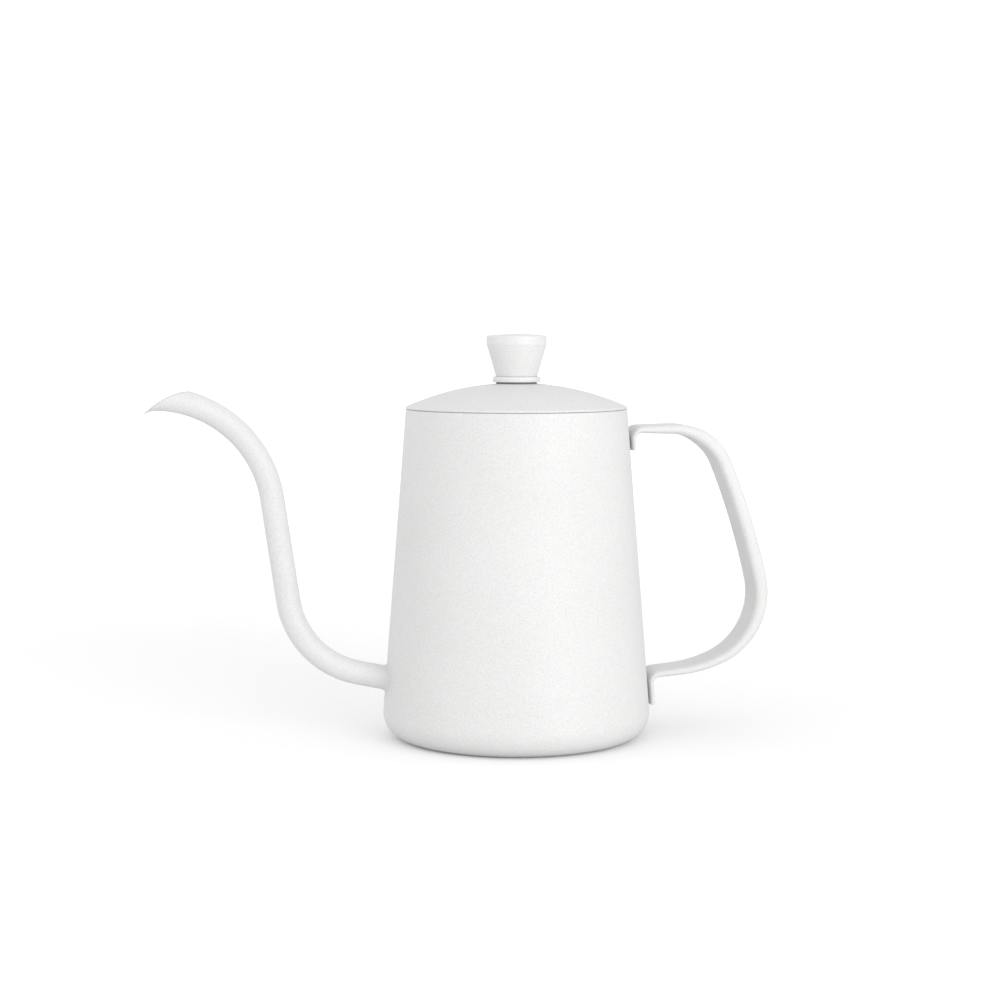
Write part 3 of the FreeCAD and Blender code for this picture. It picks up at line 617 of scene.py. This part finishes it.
def makeHandleStrap():
    # a flat bar with rounded edges, thin at its tabs and thick at the grip
    mesh = bmesh.new()
    lean = shell["lean"]
    heading = 90 + math.degrees(lean)
    across = wallRadius(strap["tabFoot"]) + strap["tabGap"] + strap["tabThick"] / 2 / math.cos(lean)
    start = (across, strap["tabFoot"])
    bmesh.ops.create_grid(mesh, x_segments=1, y_segments=1, size=0.5)
    bmesh.ops.scale(mesh, vec=(strap["width"], strap["thick"], 1), verts=mesh.verts[:])
    bmesh.ops.bevel(mesh, geom=mesh.verts[:], offset=strap["edgeRound"], offset_type="OFFSET", segments=8,
                    profile=0.5, affect="VERTICES", material=-1)
    bmesh.ops.scale(mesh, vec=(1, strap["tabThick"] / strap["thick"], 1), verts=mesh.verts[:])
    upright = Matrix(((0, 0, 1, 0), (1, 0, 0, 0), (0, 1, 0, 0), (0, 0, 0, 1)))
    placed = pathFrame((start[0], 0, start[1]), math.radians(heading)) @ upright
    bmesh.ops.transform(mesh, matrix=placed, verts=mesh.verts[:])
    foot = mesh.faces[:]
    last = sweep(mesh, mesh.edges[:], start, heading, strap["runs"])
    foot += bmesh.ops.contextual_create(mesh, geom=last)["faces"]
    bmesh.ops.recalc_face_normals(mesh, faces=mesh.faces[:])
    ends = [edge for face in foot for edge in face.edges]
    bmesh.ops.bevel(mesh, geom=ends, offset=strap["endRound"], offset_type="OFFSET", segments=3, profile=0.5,
                    affect="EDGES", material=-1, clamp_overlap=True)
    return finishPiece(meshObject("handle_strap_looks", mesh), "kettle", [finishes["coat"]])


makeHandleStrap()
print("handle made")


lid = {
    "radius": nodeBox("lid_dome")[1].x, "foot": nodeBox("lid_dome")[0].z, "crown": 129.7,
    "dome": 99.0, "wall": 0.8, "edgeRound": 0.34, "footRound": 0.30, "screwHole": 2.15,
    "ventRadius": 1.5, "ventPlace": 27.0, "ventReach": 4, "rings": 22,
}


def domeHeight(radius, deep=0.0):
    # height of the lid's sphere, or of one that lies deeper under it
    return lid["crown"] - lid["dome"] + math.sqrt((lid["dome"] - deep) ** 2 - radius ** 2)


def makeLidDome():
    # a spherical cap of sheet with a rolled edge, the screw's hole and a small steam vent
    edge, hole, wall = lid["radius"], lid["screwHole"], lid["wall"]
    spread = [hole + (edge - hole) * number / lid["rings"] for number in range(lid["rings"])]
    outline = [(radius, domeHeight(radius)) for radius in spread]
    outline += [(edge, domeHeight(edge), lid["edgeRound"]), (edge, lid["foot"], lid["footRound"]),
                (edge - wall, lid["foot"]), (edge - wall, domeHeight(edge - wall, wall))]
    outline += [(radius, domeHeight(radius, wall)) for radius in reversed(spread)]
    mesh = lathe(outline, steps=256)
    for face in mesh.faces:
        inside = face.calc_center_median().xy.length < edge - wall / 2
        face.material_index = 1 if inside and face.normal.z < -0.2 else 0
    piece = meshObject("lid_dome_looks", mesh)
    spot = Vector((0, lid["ventPlace"], domeHeight(lid["ventPlace"])))
    reach = Vector((0, 0, lid["ventReach"]))
    cutHole(piece, lid["ventRadius"], spot - reach, spot + reach)
    return finishPiece(piece, "lid", [finishes["coat"], finishes["steel"]])


knob = {
    "seat": nodeBox("knob")[0].z, "top": nodeBox("knob")[1].z, "foot": 7.5, "radius": 10.95, "bandLow": 143.7,
    "crown": 90.0, "crownRound": 0.6, "footRound": 0.4, "insert": 3.1, "insertLength": 9.0, "rings": 8,
    "collarRadius": 8.7, "collarRound": 0.5, "gasketRadius": 7.4, "gasketRound": 0.15, "gasketPlay": 0.01,
}


def crownHeight(radius):
    return knob["top"] - knob["crown"] + math.sqrt(knob["crown"] ** 2 - radius ** 2)


def makeKnob():
    seat, edge = knob["seat"], knob["radius"]
    outline = [(0, seat + knob["insertLength"]), (knob["insert"], seat + knob["insertLength"]),
               (knob["insert"], seat), (knob["foot"], seat, knob["footRound"]),
               (edge, knob["bandLow"], knob["footRound"]), (edge, crownHeight(edge), knob["crownRound"])]
    crown = [edge * number / knob["rings"] for number in range(knob["rings"])]
    outline += [(radius, crownHeight(radius)) for radius in reversed(crown)]
    piece = meshObject("knob_looks", lathe(outline, steps=160, closed=False))
    return finishPiece(piece, "lid", [finishes["plastic"]])


def makeCollar():
    low, high = nodeBox("knob_collar")
    outline = [(lid["screwHole"], low.z), (knob["collarRadius"], low.z, knob["collarRound"]),
               (knob["collarRadius"], high.z, knob["collarRound"]), (lid["screwHole"], high.z)]
    piece = meshObject("knob_collar_looks", lathe(outline, steps=144))
    return finishPiece(piece, "lid", [finishes["plastic"]])


def makeGasket():
    top = nodeBox("knob_gasket")[1].z
    hole, edge, play = lid["screwHole"], knob["gasketRadius"], knob["gasketPlay"]
    outline = [(hole, domeHeight(hole) + play), (hole, top),
               (edge, top, knob["gasketRound"]), (edge, domeHeight(edge) + play)]
    piece = meshObject("knob_gasket_looks", lathe(outline, steps=144))
    return finishPiece(piece, "lid", [finishes["washer"]])


makeLidDome()
makeKnob()
makeCollar()
makeGasket()
print("lid, knob, collar and heat washer made")


carried = {
    "base_plate": "steel", "base_seam_weld": "weld", "handle_upper_weld": "coat", "handle_lower_weld": "coat",
    "lid_skirt": "steel", "lid_skirt_welds": "weld", "lid_seal": "silicone", "knob_insert": "brass",
    "knob_screw": "zinc", "knob_washer": "zinc", "knob_spring_washer": "zinc",
}
for name, finish in carried.items():
    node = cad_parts[name]
    for place in node.material_slots:
        place.material = finishes[finish]
print("frame nodes painted:", len(carried))


studio = {
    "floorSize": 60.0, "floorWhite": 0.98, "floorBounce": 0.82, "glowNear": 0.04, "glowFar": 0.32,
    "glowStart": 0.10, "glowFull": 1.30, "backdrop": 1.04,
    "skyBack": 1.06, "skyFront": 1.02, "skyTop": 0.84, "skyLeft": 0.30,
    "flagPlace": (0.906, 0.423), "flagStart": 0.80, "flagFull": 0.97, "flagShade": 0.55,
    "keyPlace": (0.60, -1.28, 0.35), "keySize": 0.9, "keyPower": 8.1,
    "aim": (0.0, 0.0, 0.065),
}


def addFloor():
    mesh = bmesh.new()
    bmesh.ops.create_grid(mesh, x_segments=1, y_segments=1, size=studio["floorSize"] / 2)
    data = bpy.data.meshes.new("floor")
    mesh.to_mesh(data)
    mesh.free()
    floor = bpy.data.objects.new("floor", data)
    bpy.context.scene.collection.objects.link(floor)
    # white paper that throws back less light than it shows, and glows softly away from the kettle
    material, place = newMaterial("paleFloor")
    paper = noise(place, 3.0, 2.0)
    seen = place.node("ShaderNodeLightPath", {}, {}, 0)
    away = place.node("ShaderNodeVectorMath", {"operation": "LENGTH"}, {0: place}, 1)
    spread = away.eased(studio["glowStart"], studio["glowFull"])
    glow = studio["glowNear"] + (studio["glowFar"] - studio["glowNear"]) * spread
    shown, bounced = ((shade, shade, shade, 1) for shade in (studio["floorWhite"], studio["floorBounce"]))
    closeMaterial(place, paper, 0.002, {
        "Base Color": seen.mixed(bounced, shown),
        "Roughness": 0.95,
        "Specular IOR Level": 0.1,
        "Emission Color": (1, 1, 1, 1),
        "Emission Strength": glow * seen,
    })
    data.materials.append(material)


def addSky():
    # a soft surround: brightest behind the kettle, softer in front and overhead
    world = bpy.data.worlds.new("studio")
    world.use_nodes = True
    world.node_tree.nodes.clear()
    place = Signal(world.node_tree).node("ShaderNodeTexCoord", {}, {}, 0)
    x, y, z = place.split()
    level = studio["skyFront"] + (studio["skyBack"] - studio["skyFront"]) * y.eased(-0.5, 0.6)
    high = z.eased(0.15, 0.9)
    level = level * (1 - high) + studio["skyTop"] * high
    level = level * (1 + studio["skyLeft"] * (0 - x).eased(0.3, 0.9))
    flag = x * studio["flagPlace"][0] + y * studio["flagPlace"][1]
    level = level * (1 - studio["flagShade"] * flag.eased(studio["flagStart"], studio["flagFull"]))
    seen = place.node("ShaderNodeLightPath", {}, {}, 0)
    level = level * (1 - seen) + studio["backdrop"] * seen
    light = place.node("ShaderNodeBackground", {}, {"Color": (1, 1, 1, 1), "Strength": level})
    end = world.node_tree.nodes.new("ShaderNodeOutputWorld")
    world.node_tree.links.new(light.socket, end.inputs["Surface"])
    bpy.context.scene.world = world


def addLight(name, place, size, power):
    lamp = bpy.data.lights.new(name, "AREA")
    lamp.shape = "DISK"
    lamp.size = size
    lamp.energy = power
    made = bpy.data.objects.new(name, lamp)
    made.location = place
    made.rotation_euler = (Vector(studio["aim"]) - Vector(place)).to_track_quat("-Z", "Y").to_euler()
    bpy.context.scene.collection.objects.link(made)


camera = {"place": (-129.0, -734.5, 151.8), "turn": (85.02, 0.0, -9.5), "lens": 73.584, "sensor": 36.0}


def addCamera():
    lens = bpy.data.cameras.new("camera")
    lens.lens = camera["lens"]
    lens.sensor_width = camera["sensor"]
    lens.clip_start = 0.01
    made = bpy.data.objects.new("camera", lens)
    made.location = Vector(camera["place"]) * mm
    made.rotation_euler = Euler([math.radians(angle) for angle in camera["turn"]])
    bpy.context.scene.collection.objects.link(made)
    bpy.context.scene.camera = made


addFloor()
addSky()
addLight("key", studio["keyPlace"], studio["keySize"], studio["keyPower"])
addCamera()
bpy.context.scene.view_settings.view_transform = "Standard"
print("floor, light and camera set")
